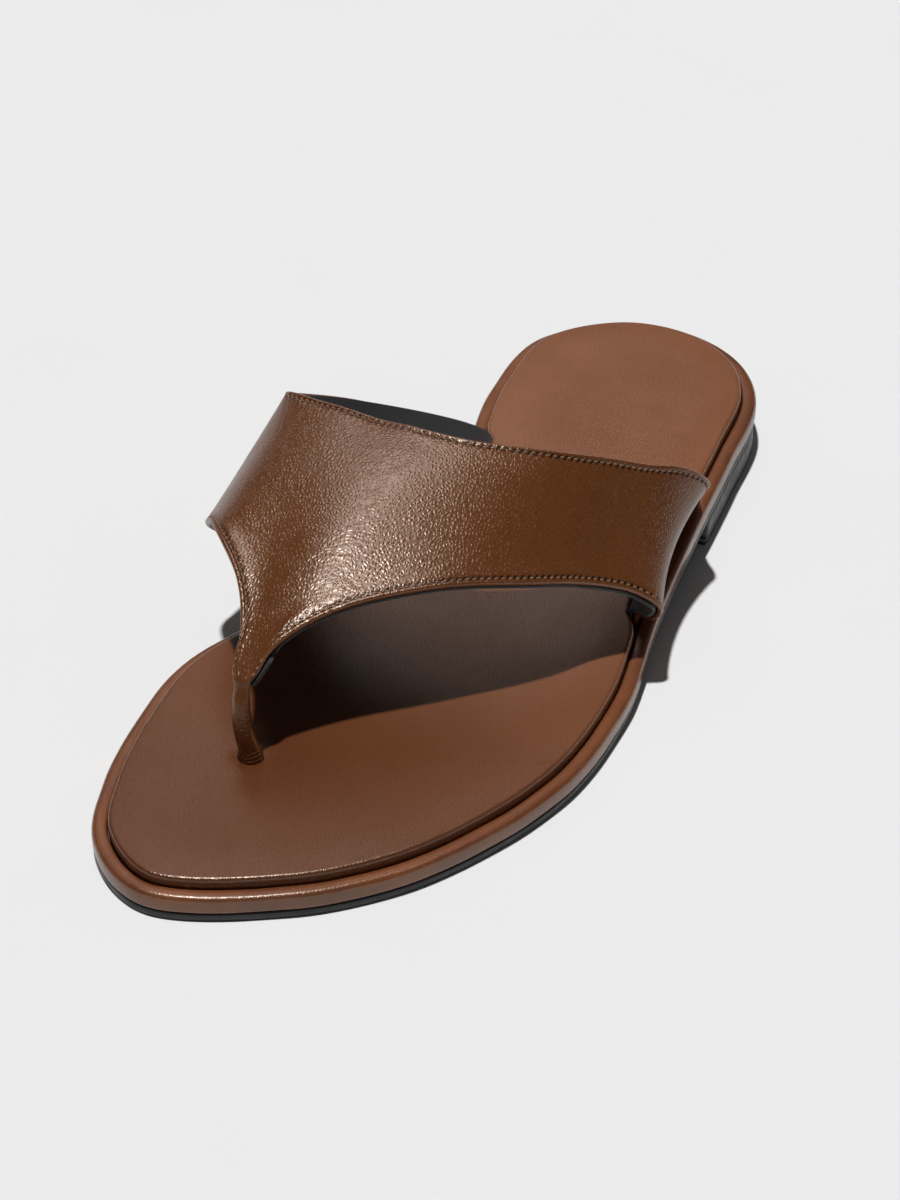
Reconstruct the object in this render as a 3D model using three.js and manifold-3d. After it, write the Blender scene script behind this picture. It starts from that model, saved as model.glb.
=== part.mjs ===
// Leather flip flop with a wide T-shaped strap and a toe post, left foot.
// Frame: millimetres, +Z up, toe towards -Y, outer (lateral) side towards +X, floor at z = 0.
import * as THREE from 'three';
import { mergeVertices } from 'three/addons/utils/BufferGeometryUtils.js';
import Module from 'manifold-3d';

// ---------- driving dimensions ----------
const LENGTH = 255;
const HEEL_END_Y = 125.5;
const WIDTH = 101;
const OUTSOLE_THICKNESS = 2.2;
const RIM_THICKNESS = 4.2;
const RIM_WIDTH = 3.4;
const HEEL_RAISE = 6.8;
const HEEL_BREAST_Y = 58;
const GAP = 0.3;
const COVER_THICKNESS = 0.8;
const UPPER_THICKNESS = 1.0;
const UPPER_OFFSET = 0.275;
const REINFORCEMENT_THICKNESS = 0.35;
const LINING_THICKNESS = 0.7;
const INSOLE_THICKNESS = 0.8;
const FOAM_THICKNESS = 1.0;
const ANCHOR_THICKNESS = 0.7;
const THREAD_RADIUS = 0.25;
const SEAM_INSET = 1.4;

// ---------- heights above the sole's underside, before the heel raise is added ----------
const MIDSOLE_BOTTOM = OUTSOLE_THICKNESS + GAP;
const RIM_TOP = MIDSOLE_BOTTOM + RIM_THICKNESS;
const WRAP_LEATHER = 1.0;
const MARGIN_BOTTOM = RIM_TOP - 2.0;
const MIDSOLE_BOARD_TOP = MARGIN_BOTTOM - GAP;
const COVER_BOTTOM = MARGIN_BOTTOM + UPPER_THICKNESS + GAP;
const COVER_TURN_TOP = COVER_BOTTOM + 0.7;
const INSOLE_BOTTOM = COVER_TURN_TOP + GAP;
const INSOLE_TOP = INSOLE_BOTTOM + INSOLE_THICKNESS;
const FOAM_BOTTOM = INSOLE_TOP + GAP;
const FOAM_TOP = FOAM_BOTTOM + FOAM_THICKNESS;
const COVER_TOP = FOAM_TOP + GAP + COVER_THICKNESS;
const POST_END = MARGIN_BOTTOM + ANCHOR_THICKNESS + GAP;
const HEEL_TOP_PIECE = 2.0;

// ---------- insets from the sole's outline ----------
const FOOTBED_INSET = RIM_WIDTH + GAP;
const STRAP_INSET = RIM_WIDTH + GAP + UPPER_OFFSET + UPPER_THICKNESS;
const STRAP_RELIEF = 3.3;
const RELIEF_RAMP = 13;
const RELIEF_MARGIN = 4;
const MARGIN_WIDTH = 9;
const FILL_INSET = RIM_WIDTH + GAP;

const SOLE_STATIONS = 38;

// Footprint of the sole, as fractions of WIDTH and LENGTH, from the toe tip round the inner side to the heel
// and back along the outer side.
const FOOTPRINT = [
  [-0.15, 0], [-0.335, 0.045], [-0.42, 0.119], [-0.472, 0.211], [-0.488, 0.315], [-0.385, 0.434],
  [-0.25, 0.567], [-0.27, 0.705], [-0.335, 0.819], [-0.335, 0.923], [-0.18, 0.988], [0, 1],
  [0.165, 0.972], [0.27, 0.915], [0.318, 0.821], [0.365, 0.705], [0.42, 0.567], [0.492, 0.439],
  [0.503, 0.315], [0.436, 0.211], [0.32, 0.122], [0.14, 0.051],
];

// Edges of the strap's middle surface, in matching order from the outer groove over the foot to the inner.
const BACK_EDGE = [
  [35.8, 51, 21], [40.4, 44, 29.3], [37.5, 36, 36.3], [33, 28.5, 39.8], [27, 20, 44.5], [15, 6.5, 51],
  [2, -1.5, 54], [-6.5, -3, 54.5], [-13, -3, 54.3], [-19.5, -2.3, 53.3], [-26, -1, 52.7], [-33, 0.5, 52],
  [-41, 3, 50.3], [-47, 5.5, 49], [-51.2, 9, 46.7], [-43.5, 28.5, 36],
];
const FRONT_EDGE = [
  [44.5, 5, 14.5], [48.3, 0, 21.8], [43.6, -4, 26.8], [36.2, -12.5, 31.8], [28.2, -25, 37],
  [12.6, -42.6, 41.7], [-4, -59.5, 40.5], [-12.5, -71, 35.5], [-15, -78, 29], [-20, -78, 28],
  [-22.5, -69.5, 33.7], [-29, -58.5, 40], [-39, -48, 42.3], [-47.5, -37, 38], [-53.2, -27, 29],
  [-48.5, -16, 19],
];
// How strongly each matching pair of edge points is joined by an arched line: 1 is straight.
const CROWN = [1, 1, 1, 1, 1.05, 1.3, 1.8, 2.3, 2.6, 2.6, 2.3, 1.8, 1.3, 1.05, 1, 1];
// How far each of these lines bows in towards the foot halfway along: only the outer side does.
const SIDE_BOW = [2.5, 3, 3, 2, 1, 0, 0, 0, 0, 0, 0, 0, 0, 0, 0, 0];
// Where the strap's two edges enter the groove, as y on each side.
const GROOVE_OUTER = { back: 60, front: 9 };
const GROOVE_INNER = { back: 56, front: -5 };

// Centre line and radius of the rolled toe post, from inside the strap's stem to under the insole board.
const POST_PATH = [
  { at: [-17.5, -74.5, 32.2], radius: 1.5 }, { at: [-17.5, -78, 28], radius: 2.2 },
  { at: [-17.1, -79.6, 23], radius: 2.3 }, { at: [-16.4, -79.8, 17], radius: 2.35 },
  { at: [-15.7, -79, 12.5], radius: 2.6 }, { at: [-15.4, -78.6, COVER_TOP - 0.5], radius: 2.9 },
  { at: [-15.4, -78.6, POST_END], radius: 2.9 },
];
const POST_LEATHER = 1.0;

const COLOUR = {
  strap: '#5a3219', footbed: '#7c4a2e', rim: '#6b3f24', black: '#1b1a1d', lining: '#232125',
  thread: '#6a4023', board: '#b59a78', padding: '#d8d2c4', tape: '#c9c2b6', steel: '#9aa0a6',
};

const wasm = await Module();
wasm.setup();

// ---------- small helpers ----------
const smoothstep = (a, b, t) => {
  const k = Math.min(1, Math.max(0, (t - a) / (b - a)));
  return k * k * (3 - 2 * k);
};
const mix = (a, b, t) => a + (b - a) * t;

// Height added to every layer of the sole at a place along the foot: the waist slopes up to the heel.
function raise(y) {
  return HEEL_RAISE * smoothstep(-22, 60, y);
}

function leather(color, roughness = 0.5) {
  return new THREE.MeshStandardMaterial({ color, roughness, metalness: 0 });
}

function piece(name, geometry, material) {
  const mesh = new THREE.Mesh(geometry, material);
  mesh.name = name;
  return mesh;
}

function signedVolume(positions, triangles) {
  let volume = 0;
  const [a, b, c] = [new THREE.Vector3(), new THREE.Vector3(), new THREE.Vector3()];
  for (const [i, j, k] of triangles) {
    a.fromArray(positions[i]);
    b.fromArray(positions[j]);
    c.fromArray(positions[k]);
    volume += a.dot(b.cross(c));
  }
  return volume;
}

// A closed mesh from points and triangles, turned so that its faces point out.
function solid(positions, triangles) {
  const outward = signedVolume(positions, triangles) > 0;
  const index = triangles.flatMap(([i, j, k]) => (outward ? [i, j, k] : [i, k, j]));
  const geometry = new THREE.BufferGeometry();
  geometry.setAttribute('position', new THREE.Float32BufferAttribute(positions.flat(), 3));
  geometry.setIndex(index);
  return geometry;
}

function toManifold(geometry) {
  const bare = geometry.clone();
  bare.deleteAttribute('normal');
  bare.deleteAttribute('uv');
  const merged = mergeVertices(bare, 1e-4);
  return new wasm.Manifold(new wasm.Mesh({
    numProp: 3,
    vertProperties: new Float32Array(merged.attributes.position.array),
    triVerts: new Uint32Array(merged.index.array),
  }));
}

function fromManifold(manifold) {
  const mesh = manifold.getMesh();
  const geometry = new THREE.BufferGeometry();
  geometry.setAttribute('position', new THREE.Float32BufferAttribute(mesh.vertProperties, 3));
  geometry.setIndex(Array.from(mesh.triVerts));
  return geometry;
}

function cut(geometry, ...cutters) {
  return fromManifold(cutters.reduce((rest, tool) => rest.subtract(toManifold(tool)), toManifold(geometry)));
}

// ---------- the sole's outline ----------
const footprintPoints = FOOTPRINT.map(([across, along]) => (
  new THREE.Vector3(across * WIDTH, HEEL_END_Y - (1 - along) * LENGTH, 0)));
const footprintCurve = new THREE.CatmullRomCurve3(footprintPoints, true, 'centripetal');

// Outline points in pairs that face each other across the foot: toe tip, inner side, heel tip, outer side.
function pairedOutline() {
  const dense = footprintCurve.getPoints(3000).slice(0, -1);
  const toe = dense.reduce((a, b) => (b.y < a.y ? b : a));
  const heel = dense.reduce((a, b) => (b.y > a.y ? b : a));
  const tipLine = (y) => mix(toe.x, heel.x, (y - toe.y) / (heel.y - toe.y));
  const edge = (y, side) => {
    const candidates = dense.filter((p) => side * (p.x - tipLine(p.y)) > 0);
    const nearest = candidates.reduce((a, b) => (Math.abs(b.y - y) < Math.abs(a.y - y) ? b : a));
    return new THREE.Vector3(nearest.x, y, 0);
  };
  const inner = [];
  const outer = [];
  for (let i = 1; i < SOLE_STATIONS; i += 1) {
    const y = mix(toe.y, heel.y, (1 - Math.cos((Math.PI * i) / SOLE_STATIONS)) / 2);
    inner.push(edge(y, -1));
    outer.unshift(edge(y, 1));
  }
  return [toe, ...inner, heel, ...outer];
}

const outline = pairedOutline();
const SOLE_POINTS = outline.length;

// Unit directions pointing into the sole from each outline point, which runs clockwise seen from above.
const inward = outline.map((_, i) => {
  const before = outline[(i + SOLE_POINTS - 1) % SOLE_POINTS];
  const after = outline[(i + 1) % SOLE_POINTS];
  return new THREE.Vector3(after.y - before.y, before.x - after.x, 0).normalize();
});

// The footbed gives way beside the strap: extra inset along each stretch of groove that the strap fills.
function strapRelief(point) {
  const side = point.x > 0 ? GROOVE_OUTER : GROOVE_INNER;
  return STRAP_RELIEF * smoothstep(side.front - RELIEF_RAMP, side.front - RELIEF_MARGIN, point.y)
    * (1 - smoothstep(side.back + RELIEF_MARGIN, side.back + RELIEF_RAMP, point.y));
}

function ring(inset, z, relieved = false) {
  return outline.map((point, i) => {
    const depth = inset + (relieved ? strapRelief(point) : 0);
    const moved = point.clone().addScaledVector(inward[i], depth);
    return [moved.x, moved.y, z + raise(moved.y)];
  });
}

// A cap in strips across the foot, so that it follows the raise of the heel.
function cap(offset) {
  const faces = [];
  for (let i = 0; i < SOLE_STATIONS; i += 1) {
    const facing = (SOLE_POINTS - i) % SOLE_POINTS;
    const next = SOLE_POINTS - i - 1;
    if (i > 0) faces.push([i, i + 1, facing]);
    if (i < SOLE_STATIONS - 1) faces.push([facing, i + 1, next]);
  }
  return faces.map((face) => face.map((k) => k + offset));
}

function band(lower, upper, count) {
  const faces = [];
  for (let i = 0; i < count; i += 1) {
    const j = (i + 1) % count;
    faces.push([lower + i, lower + j, upper + j], [lower + i, upper + j, upper + i]);
  }
  return faces;
}

// The flat end of a tube: a fan of triangles over `sides` points that start at `first`.
function fan(first, sides) {
  return Array.from({ length: sides - 2 }, (_, i) => [first, first + i + 1, first + i + 2]);
}

// A layer of the sole: rings of [inset, height] from one flat cap to the other.
function layer(profile, relieved = false) {
  const rings = profile.map(([inset, z]) => ring(inset, z, relieved));
  const positions = rings.flat();
  const triangles = [];
  for (let r = 0; r + 1 < rings.length; r += 1) {
    triangles.push(...band(r * SOLE_POINTS, (r + 1) * SOLE_POINTS, SOLE_POINTS));
  }
  return closeCaps(positions, triangles, cap(0), cap((rings.length - 1) * SOLE_POINTS));
}

// Adds two caps, each turned to run the same way round as the bands between them.
function closeCaps(positions, triangles, first, last) {
  const used = new Set(triangles.flatMap(([a, b, c]) => [`${a},${b}`, `${b},${c}`, `${c},${a}`]));
  const agree = (faces) => {
    const clash = faces.some(([a, b, c]) => (
      used.has(`${a},${b}`) || used.has(`${b},${c}`) || used.has(`${c},${a}`)));
    return clash ? faces.map(([a, b, c]) => [a, c, b]) : faces;
  };
  return solid(positions, [...triangles, ...agree(first), ...agree(last)]);
}

// A strip that runs all the way round the sole: its section is a closed loop of [inset, height].
function rim(section) {
  const rings = section.map(([inset, z]) => ring(inset, z));
  const triangles = rings.flatMap((_, r) => (
    band(r * SOLE_POINTS, ((r + 1) % rings.length) * SOLE_POINTS, SOLE_POINTS)));
  return solid(rings.flat(), triangles);
}

// ---------- sole pieces ----------
function outsole() {
  return layer([[0.9, 0], [0.35, 0.3], [0.3, OUTSOLE_THICKNESS]]);
}

function heelShape(inset) {
  const behind = ring(inset, 0)
    .filter(([, y]) => y > HEEL_BREAST_Y + 1)
    .map(([x, y]) => new THREE.Vector2(x, y));
  const inner = new THREE.Vector2(behind[0].x, HEEL_BREAST_Y);
  const outer = new THREE.Vector2(behind.at(-1).x, HEEL_BREAST_Y);
  return new THREE.Shape([inner, ...behind, outer]);
}

function heelBlock(inset, bottom, thickness) {
  const geometry = new THREE.ExtrudeGeometry(heelShape(inset), { depth: thickness, bevelEnabled: false });
  return geometry.translate(0, 0, bottom);
}

function midsoleBoard() {
  const [inRim, lipTop] = [WRAP_LEATHER + GAP, RIM_TOP - WRAP_LEATHER - GAP];
  return layer([
    [FILL_INSET, MIDSOLE_BOTTOM], [FILL_INSET, MIDSOLE_BOTTOM + inRim], [inRim, MIDSOLE_BOTTOM + inRim],
    [inRim, lipTop], [RIM_WIDTH - 0.3, lipTop], [RIM_WIDTH, MIDSOLE_BOARD_TOP],
  ]);
}

function midsoleWrap() {
  const inner = RIM_TOP - WRAP_LEATHER;
  return rim([
    [RIM_WIDTH, MIDSOLE_BOTTOM], [0.5, MIDSOLE_BOTTOM], [0, MIDSOLE_BOTTOM + 0.5], [0, RIM_TOP - 1.3],
    [0.4, RIM_TOP - 0.4], [1.3, RIM_TOP], [RIM_WIDTH - 0.8, RIM_TOP], [RIM_WIDTH, RIM_TOP - 0.5],
    [RIM_WIDTH, inner], [WRAP_LEATHER, inner],
    [WRAP_LEATHER, MIDSOLE_BOTTOM + WRAP_LEATHER], [RIM_WIDTH, MIDSOLE_BOTTOM + WRAP_LEATHER],
  ]);
}

function insoleBoard() {
  const edge = FOOTBED_INSET + COVER_THICKNESS + GAP;
  return layer([[edge, INSOLE_BOTTOM], [edge, INSOLE_TOP]], true);
}

function footbedFoam() {
  const edge = FOOTBED_INSET + COVER_THICKNESS + GAP;
  return layer([[edge, FOAM_BOTTOM], [edge + 0.5, FOAM_TOP - 0.6], [edge + 2.2, FOAM_TOP]], true);
}

function footbedCover() {
  const [outside, inside] = [FOOTBED_INSET, FOOTBED_INSET + COVER_THICKNESS];
  return layer([
    [inside + 2.4, COVER_TOP - COVER_THICKNESS], [inside + 0.45, FOAM_TOP - 0.4],
    [inside, FOAM_BOTTOM], [inside, COVER_TURN_TOP], [outside + 7, COVER_TURN_TOP],
    [outside + 7, COVER_BOTTOM], [outside + 0.4, COVER_BOTTOM], [outside, COVER_BOTTOM + 0.5],
    [outside, COVER_TOP - 1.5], [outside + 0.4, COVER_TOP - 0.7],
    [outside + 1.4, COVER_TOP - 0.2], [outside + 3.4, COVER_TOP],
  ], true);
}

// Thin spring-steel strip under the insole board, from the heel seat to behind the ball of the foot.
function shank() {
  const [halfWidth, thickness, bottom] = [6, 1.0, MARGIN_BOTTOM + 0.5];
  const [from, to, steps] = [-12, 92, 16];
  const positions = [];
  const triangles = [];
  for (let i = 0; i <= steps; i += 1) {
    const y = mix(from, to, i / steps);
    const x = mix(10, -4, i / steps);
    const taper = i === 0 || i === steps ? 0.6 : 1;
    for (const [side, up] of [[-1, 0], [1, 0], [1, 1], [-1, 1]]) {
      positions.push([x + side * halfWidth * taper, y, bottom + raise(y) + up * thickness]);
    }
  }
  for (let i = 0; i < steps; i += 1) triangles.push(...band(4 * i, 4 * i + 4, 4));
  return closeCaps(positions, triangles, fan(0, 4), fan(4 * steps, 4));
}

// ---------- strap ----------
// The groove's line on one side of the foot, at an extra inset from where the strap comes down.
function grooveLine(extra) {
  const line = new THREE.CatmullRomCurve3(
    ring(STRAP_INSET + extra, 0).map(([x, y]) => new THREE.Vector3(x, y, 0)), true, 'centripetal');
  const points = line.getPoints(600).filter((p) => Math.abs(p.y) < LENGTH * 0.4);
  return { 1: points.filter((p) => p.x > 0), [-1]: points.filter((p) => p.x < 0) };
}

// The strap's path into the sole: turned in under the footbed, round the bend and up out of the groove.
const MARGIN_MIDDLE = MARGIN_BOTTOM + UPPER_OFFSET + UPPER_THICKNESS;
const TUCK = [
  { line: grooveLine(MARGIN_WIDTH), z: MARGIN_MIDDLE }, { line: grooveLine(2.6), z: MARGIN_MIDDLE },
  { line: grooveLine(0.5), z: MARGIN_MIDDLE + 0.6 }, { line: grooveLine(0), z: RIM_TOP + 2.5 },
];

function tuckPoints(y, side) {
  return TUCK.map(({ line, z }) => {
    const nearest = line[side].reduce((a, b) => (Math.abs(b.y - y) < Math.abs(a.y - y) ? b : a));
    return new THREE.Vector3(nearest.x, y, z + raise(y));
  });
}

// One line across the strap, from groove to groove, v of the way from the back edge to the front edge.
function strapLine(v) {
  const across = BACK_EDGE.map((back, i) => {
    const front = FRONT_EDGE[i];
    const arched = v ** CROWN[i];
    const x = mix(back[0], front[0], v) - SIDE_BOW[i] * 4 * v * (1 - v);
    return new THREE.Vector3(x, mix(back[1], front[1], v), mix(back[2], front[2], arched));
  });
  const outer = tuckPoints(mix(GROOVE_OUTER.back, GROOVE_OUTER.front, v), 1);
  const inner = tuckPoints(mix(GROOVE_INNER.back, GROOVE_INNER.front, v), -1);
  return new THREE.CatmullRomCurve3([...outer, ...across, ...inner.reverse()], false, 'centripetal');
}

const STRAP_ACROSS = 2 * (BACK_EDGE.length + 2 * TUCK.length - 1);
const STRAP_ALONG = 8;
// Samples at each end of a line that lie in the turned-in margin.
const MARGIN_SAMPLES = 5;

function strapGrid() {
  const rows = [];
  for (let j = 0; j <= STRAP_ALONG; j += 1) rows.push(strapLine(j / STRAP_ALONG).getPoints(STRAP_ACROSS));
  return rows;
}

// Unit normals of a grid of points, pointing away from the foot.
function gridNormals(rows) {
  return rows.map((row, j) => row.map((_, i) => {
    const before = row[Math.max(0, i - 1)];
    const after = row[Math.min(row.length - 1, i + 1)];
    const back = rows[Math.max(0, j - 1)][i];
    const front = rows[Math.min(rows.length - 1, j + 1)][i];
    return after.clone().sub(before).cross(front.clone().sub(back)).normalize();
  }));
}

// A sheet between two offsets from the strap's middle surface.
function strapSheet(bottom, top, trim = 0) {
  const rows = strapGrid().map((row) => row.slice(trim, row.length - trim));
  const normals = gridNormals(rows);
  const columns = rows[0].length;
  const place = (offset) => rows.flatMap((row, j) => row.map((p, i) => (
    p.clone().addScaledVector(normals[j][i], offset).toArray())));
  const positions = [...place(top), ...place(bottom)];
  const under = rows.length * columns;
  const triangles = [];
  const quad = (a, b, c, d) => triangles.push([a, b, c], [a, c, d]);
  for (let j = 0; j + 1 < rows.length; j += 1) {
    for (let i = 0; i + 1 < columns; i += 1) {
      const k = j * columns + i;
      quad(k, k + 1, k + columns + 1, k + columns);
      quad(under + k, under + k + columns, under + k + columns + 1, under + k + 1);
    }
    const [start, end] = [j * columns, (j + 1) * columns - 1];
    quad(start, start + columns, under + start + columns, under + start);
    quad(end, under + end, under + end + columns, end + columns);
  }
  const lastRow = (rows.length - 1) * columns;
  for (let i = 0; i + 1 < columns; i += 1) {
    quad(i, under + i, under + i + 1, i + 1);
    quad(lastRow + i, lastRow + i + 1, under + lastRow + i + 1, under + lastRow + i);
  }
  return solid(positions, triangles);
}

// ---------- toe post and threads ----------
// A round rod along a smooth line: points are { at, radius } and `grow` is added to every radius.
function rod(stations, { grow = 0, sides = 14, steps = 2, from = 0 } = {}) {
  const middle = stations.map(({ at }) => new THREE.Vector3(...at));
  const line = new THREE.CatmullRomCurve3(middle, false, 'centripetal');
  const spans = stations.length - 1;
  const count = Math.round((spans - from) * steps);
  const positions = [];
  const triangles = [];
  const sideways = new THREE.Vector3(1, 0.2, 0.1).normalize();
  for (let k = 0; k <= count; k += 1) {
    const place = from + k / steps;
    const t = place / spans;
    const lower = Math.min(spans - 1, Math.floor(place));
    const radius = grow + mix(stations[lower].radius, stations[lower + 1].radius, place - lower);
    const tangent = line.getTangent(t);
    const across = sideways.clone().cross(tangent).normalize();
    const other = tangent.clone().cross(across);
    for (let i = 0; i < sides; i += 1) {
      const angle = (2 * Math.PI * i) / sides;
      const point = line.getPoint(t).addScaledVector(across, radius * Math.cos(angle))
        .addScaledVector(other, radius * Math.sin(angle));
      positions.push(point.toArray());
    }
    if (k < count) triangles.push(...band(k * sides, (k + 1) * sides, sides));
  }
  return closeCaps(positions, triangles, fan(0, sides), fan(count * sides, sides));
}

// The post's stations carried on straight down past its open end.
function throughPost() {
  const { at: [x, y, z], radius } = POST_PATH.at(-1);
  return [...POST_PATH, { at: [x, y, z - 3], radius }];
}

// The upper ends in a tongue that is rolled round a cord to make the toe post, open at its lower end.
function strapUpper() {
  const sheet = toManifold(strapSheet(UPPER_OFFSET, UPPER_OFFSET + UPPER_THICKNESS));
  const tongue = toManifold(rod(POST_PATH));
  const bore = toManifold(rod(throughPost(), { grow: -POST_LEATHER, from: 1 }));
  return fromManifold(sheet.add(tongue).subtract(bore));
}

// Where a seam runs: inset from one edge of the strap, just above the upper, between two places across it.
function seamPoint(place, fromFront) {
  const t = place / (BACK_EDGE.length + 2 * TUCK.length - 1);
  const length = strapLine(0).getPoint(t).distanceTo(strapLine(1).getPoint(t));
  const v = fromFront ? 1 - SEAM_INSET / length : SEAM_INSET / length;
  const line = strapLine(v);
  const point = line.getPoint(t);
  const along = strapLine(v + 0.01).getPoint(t).sub(strapLine(v - 0.01).getPoint(t));
  const normal = line.getTangent(t).cross(along).normalize();
  return point.addScaledVector(normal, UPPER_OFFSET + UPPER_THICKNESS + GAP + THREAD_RADIUS).toArray();
}

function seam(from, to, fromFront) {
  const steps = 2 * Math.round(Math.abs(to - from));
  const stations = Array.from({ length: steps + 1 }, (_, i) => (
    { at: seamPoint(mix(from, to, i / steps), fromFront), radius: THREAD_RADIUS }));
  return rod(stations, { sides: 5, steps: 1 });
}

function anchorTab() {
  const { at } = POST_PATH.at(-1);
  const [width, length, middle] = [18, 22, MARGIN_BOTTOM + ANCHOR_THICKNESS / 2];
  return new THREE.BoxGeometry(width, length, ANCHOR_THICKNESS).translate(at[0], at[1], middle);
}

// ---------- assembly ----------
const postRoom = rod(POST_PATH, { grow: GAP });
const postHole = rod(throughPost(), { grow: GAP });
const reinforcementTop = UPPER_OFFSET - GAP;
const reinforcementBottom = reinforcementTop - REINFORCEMENT_THICKNESS;
const liningTop = reinforcementBottom - GAP;
const outerEnd = TUCK.length;
const innerEnd = TUCK.length + BACK_EDGE.length - 1;

const black = leather(COLOUR.black, 0.45);
const board = leather(COLOUR.board, 0.8);
const padding = leather(COLOUR.padding, 0.9);
const tape = leather(COLOUR.tape, 0.9);
const thread = leather(COLOUR.thread, 0.7);
const steel = new THREE.MeshStandardMaterial({ color: COLOUR.steel, roughness: 0.35, metalness: 0.9 });
const heelLiftBottom = HEEL_TOP_PIECE + GAP;
// The sole is still rising a little at the heel breast, so the lift stops lower than the full raise.
const heelLiftTop = raise(HEEL_BREAST_Y) - GAP;
const reinforcement = strapSheet(reinforcementBottom, reinforcementTop, MARGIN_SAMPLES);
const lining = strapSheet(liningTop - LINING_THICKNESS, liningTop, MARGIN_SAMPLES);

const group = new THREE.Group();
group.add(
  piece('heel_top_piece', heelBlock(0.7, 0, HEEL_TOP_PIECE), black),
  piece('heel_lift', heelBlock(0.5, heelLiftBottom, heelLiftTop - heelLiftBottom), black),
  piece('outsole', outsole(), black),
  piece('midsole_board', midsoleBoard(), board),
  piece('midsole_wrap', midsoleWrap(), leather(COLOUR.rim, 0.45)),
  piece('shank', shank(), steel),
  piece('toe_post_anchor', anchorTab(), tape),
  piece('insole_board', cut(insoleBoard(), postHole), board),
  piece('footbed_foam', cut(footbedFoam(), postHole), padding),
  piece('footbed_cover', cut(footbedCover(), postHole), leather(COLOUR.footbed, 0.5)),
  piece('strap_upper', strapUpper(), leather(COLOUR.strap, 0.35)),
  piece('strap_reinforcement', cut(reinforcement, postRoom), tape),
  piece('strap_lining', cut(lining, postRoom), leather(COLOUR.lining, 0.6)),
  piece('toe_post_cord', rod(POST_PATH, { grow: -POST_LEATHER - GAP, from: 1.5, sides: 10 }), padding),
  piece('seam_back_edge', seam(outerEnd, innerEnd, false), thread),
  piece('seam_front_outer', seam(outerEnd + 1, outerEnd + 7, true), thread),
  piece('seam_front_inner', seam(innerEnd - 1, innerEnd - 5, true), thread),
);

// The origin is the middle of the object's box, on the floor.
const box = new THREE.Box3().setFromObject(group);
const middle = box.getCenter(new THREE.Vector3());
group.position.set(-middle.x, -middle.y, -box.min.z);

export default group;
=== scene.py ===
"""Looks for the leather flip flop: padded footbed, wrapped rim and a stitched strap with a rolled toe post.

Lengths are millimetres in the foot's own frame (toe towards -Y, outer side towards +X, floor at z = 0)
until a mesh is made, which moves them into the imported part's frame in metres.
"""

import math

import bmesh
import bpy
import numpy as np
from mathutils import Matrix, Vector, noise


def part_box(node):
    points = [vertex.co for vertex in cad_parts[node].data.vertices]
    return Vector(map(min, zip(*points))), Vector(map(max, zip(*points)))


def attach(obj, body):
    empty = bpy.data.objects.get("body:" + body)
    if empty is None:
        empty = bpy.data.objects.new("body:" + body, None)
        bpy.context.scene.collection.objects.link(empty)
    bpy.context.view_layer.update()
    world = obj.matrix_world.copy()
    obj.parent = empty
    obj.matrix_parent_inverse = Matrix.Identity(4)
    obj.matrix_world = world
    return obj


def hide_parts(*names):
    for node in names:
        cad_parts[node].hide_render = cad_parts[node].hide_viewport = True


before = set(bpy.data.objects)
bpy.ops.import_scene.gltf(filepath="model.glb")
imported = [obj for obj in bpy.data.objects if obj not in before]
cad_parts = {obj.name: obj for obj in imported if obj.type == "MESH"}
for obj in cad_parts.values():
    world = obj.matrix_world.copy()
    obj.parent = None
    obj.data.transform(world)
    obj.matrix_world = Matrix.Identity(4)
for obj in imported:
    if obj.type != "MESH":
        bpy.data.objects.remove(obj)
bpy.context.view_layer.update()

# ---------- driving dimensions: they follow the CAD's, adjusted for soft and rounded surfaces ----------
MM = 0.001
LENGTH = 255
HEEL_END_Y = 125.5
WIDTH = 101
OUTSOLE_THICKNESS = 2.2
RIM_BOTTOM = OUTSOLE_THICKNESS + 0.1
RIM_TOP = 6.7
RIM_WIDTH = 3.6
HEEL_RAISE = 6.8
WAIST_FRONT_Y = -22
WAIST_BACK_Y = 60
HEEL_BREAST_Y = 58
HEEL_HEIGHT = 6.65
COVER_BOTTOM = 6.0
COVER_TOP = 9.8
FOOTBED_INSET = 3.8
STRAP_INSET = 5.0
STRAP_RELIEF = 3.0
RELIEF_RAMP = 7
RELIEF_OVERLAP = 3
MARGIN_WIDTH = 9
MARGIN_MIDDLE = 5.975
SEAM_INSET = 1.4
STITCH_PITCH = 1.8
STITCH_DEPTH = 0.24
ROLLED_EDGE = 0.5

# Heights of the strap's layers over its middle surface.
UPPER_TOP = 1.275
UPPER_BOTTOM = 0.0
REINFORCEMENT_BOTTOM = -0.5
LINING_BOTTOM = -1.4

OUTLINE_SAMPLES = 6000
SOLE_STATIONS = 130
COLUMN_SPACING = 0.8

# Footprint of the sole, as fractions of WIDTH and LENGTH, from the toe tip round the inner side to the heel
# and back along the outer side.
FOOTPRINT = np.array([
    [-0.15, 0], [-0.335, 0.045], [-0.42, 0.119], [-0.472, 0.211], [-0.488, 0.315], [-0.385, 0.434],
    [-0.25, 0.567], [-0.27, 0.705], [-0.335, 0.819], [-0.335, 0.923], [-0.18, 0.988], [0, 1],
    [0.165, 0.972], [0.27, 0.915], [0.318, 0.821], [0.365, 0.705], [0.42, 0.567], [0.492, 0.439],
    [0.503, 0.315], [0.436, 0.211], [0.32, 0.122], [0.14, 0.051],
])

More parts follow.
